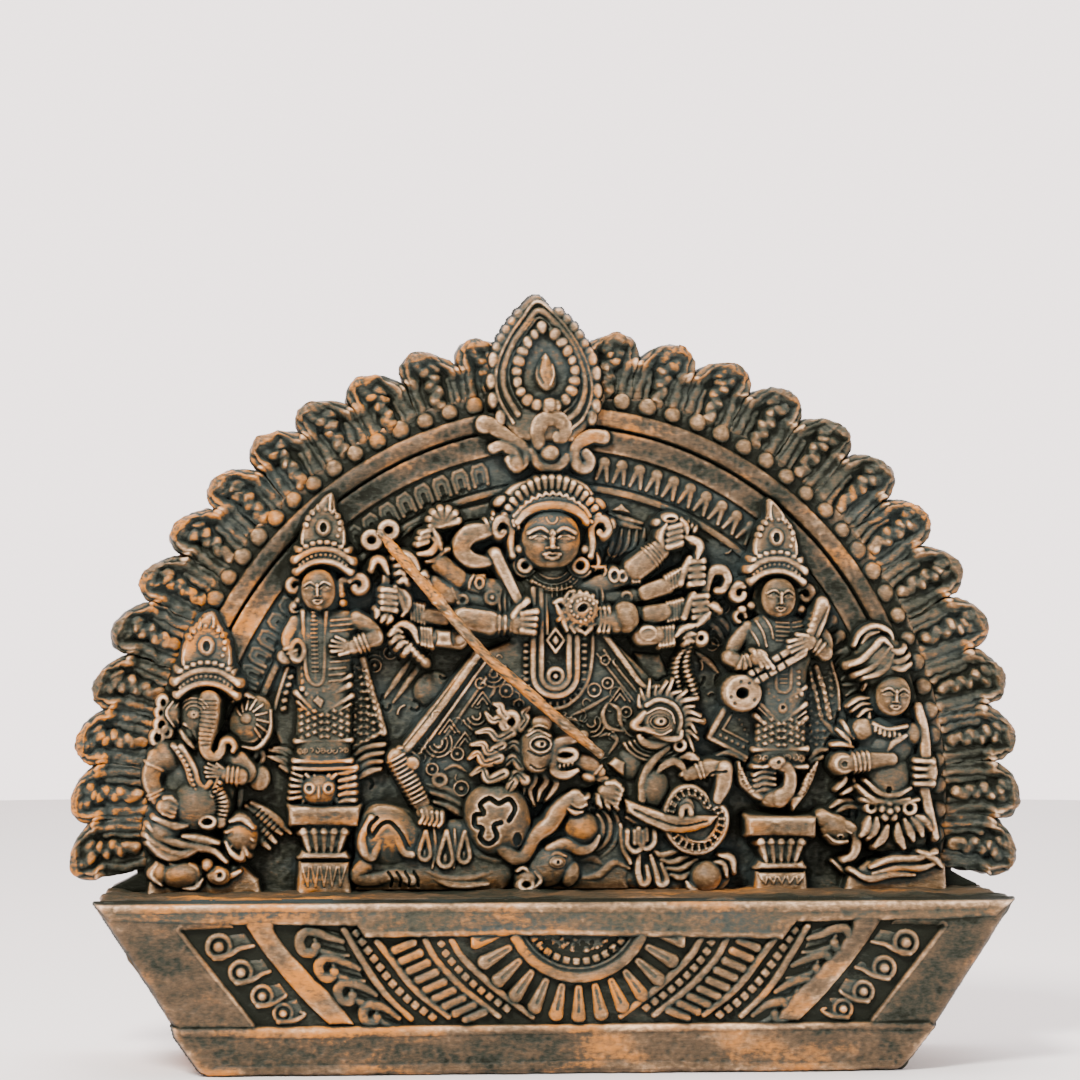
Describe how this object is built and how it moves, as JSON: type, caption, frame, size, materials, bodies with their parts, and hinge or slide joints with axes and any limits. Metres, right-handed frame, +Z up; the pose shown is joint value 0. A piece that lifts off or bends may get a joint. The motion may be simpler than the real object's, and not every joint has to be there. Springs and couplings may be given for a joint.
{
  "type": "relief figurine group",
  "caption": "Terracotta arched relief of a many-armed goddess with attendants, lion, buffalo and demon, on a boat-shaped plinth; it rests flat or stands against a wall.",
  "frame": {"origin": "middle of the plinth's underside", "axes": "+X to the viewer's right, +Z up, the reliefs face -Y and the flat back faces +Y"},
  "size_m": [0.2518, 0.056, 0.1988],
  "materials": {
    "patinated_terracotta": "matte fired clay under a dark green-black wash, rubbed back on its high points",
    "rubbed_terracotta": "fired clay rubbed to copper and pink-beige, dark in its hollows",
    "dark_patina": "fired clay under a thick green-black wash, slightly satin"
  },
  "bodies": {
    "root": {"plinth_core": "patinated_terracotta", "top_rail": "rubbed_terracotta", "foot_band": "rubbed_terracotta", "fascia_frame": "patinated_terracotta", "ring_dots": "rubbed_terracotta", "scroll_leaves": "rubbed_terracotta", "bead_strips": "rubbed_terracotta", "sun_fan": "rubbed_terracotta", "back_slab": "dark_patina", "petal_border": "patinated_terracotta", "petal_buds": "rubbed_terracotta", "rim_beads": "patinated_terracotta", "outer_band": "patinated_terracotta", "inner_band": "patinated_terracotta", "tooth_row": "patinated_terracotta", "inner_field": "dark_patina", "crest_plate": "patinated_terracotta", "crest_pearls": "rubbed_terracotta", "crest_scrolls": "rubbed_terracotta", "goddess_body": "patinated_terracotta", "goddess_head": "rubbed_terracotta", "goddess_crown": "rubbed_terracotta", "goddess_left_arms": "rubbed_terracotta", "goddess_right_arms": "rubbed_terracotta", "goddess_garland": "rubbed_terracotta", "goddess_shin": "rubbed_terracotta", "discus": "rubbed_terracotta", "crescent_axe": "rubbed_terracotta", "spear": "rubbed_terracotta", "lion_body": "patinated_terracotta", "lion_head": "rubbed_terracotta", "buffalo": "patinated_terracotta", "demon_body": "patinated_terracotta", "demon_head": "rubbed_terracotta", "shield": "rubbed_terracotta", "sword": "rubbed_terracotta", "left_stand": "patinated_terracotta", "left_figure_body": "patinated_terracotta", "left_figure_head": "rubbed_terracotta", "left_figure_crown": "rubbed_terracotta", "left_figure_cape": "dark_patina", "owl": "rubbed_terracotta", "right_stand": "patinated_terracotta", "right_figure_body": "patinated_terracotta", "right_figure_head": "rubbed_terracotta", "right_figure_crown": "rubbed_terracotta", "right_figure_cape": "dark_patina", "lute": "rubbed_terracotta", "swan": "rubbed_terracotta", "elephant_god_body": "patinated_terracotta", "elephant_god_head": "rubbed_terracotta", "elephant_god_ears": "patinated_terracotta", "elephant_god_crown": "rubbed_terracotta", "mouse": "rubbed_terracotta", "archer_body": "patinated_terracotta", "archer_head": "rubbed_terracotta", "archer_turban": "rubbed_terracotta", "bow": "rubbed_terracotta", "peacock": "patinated_terracotta"}
  },
  "joints": []
}
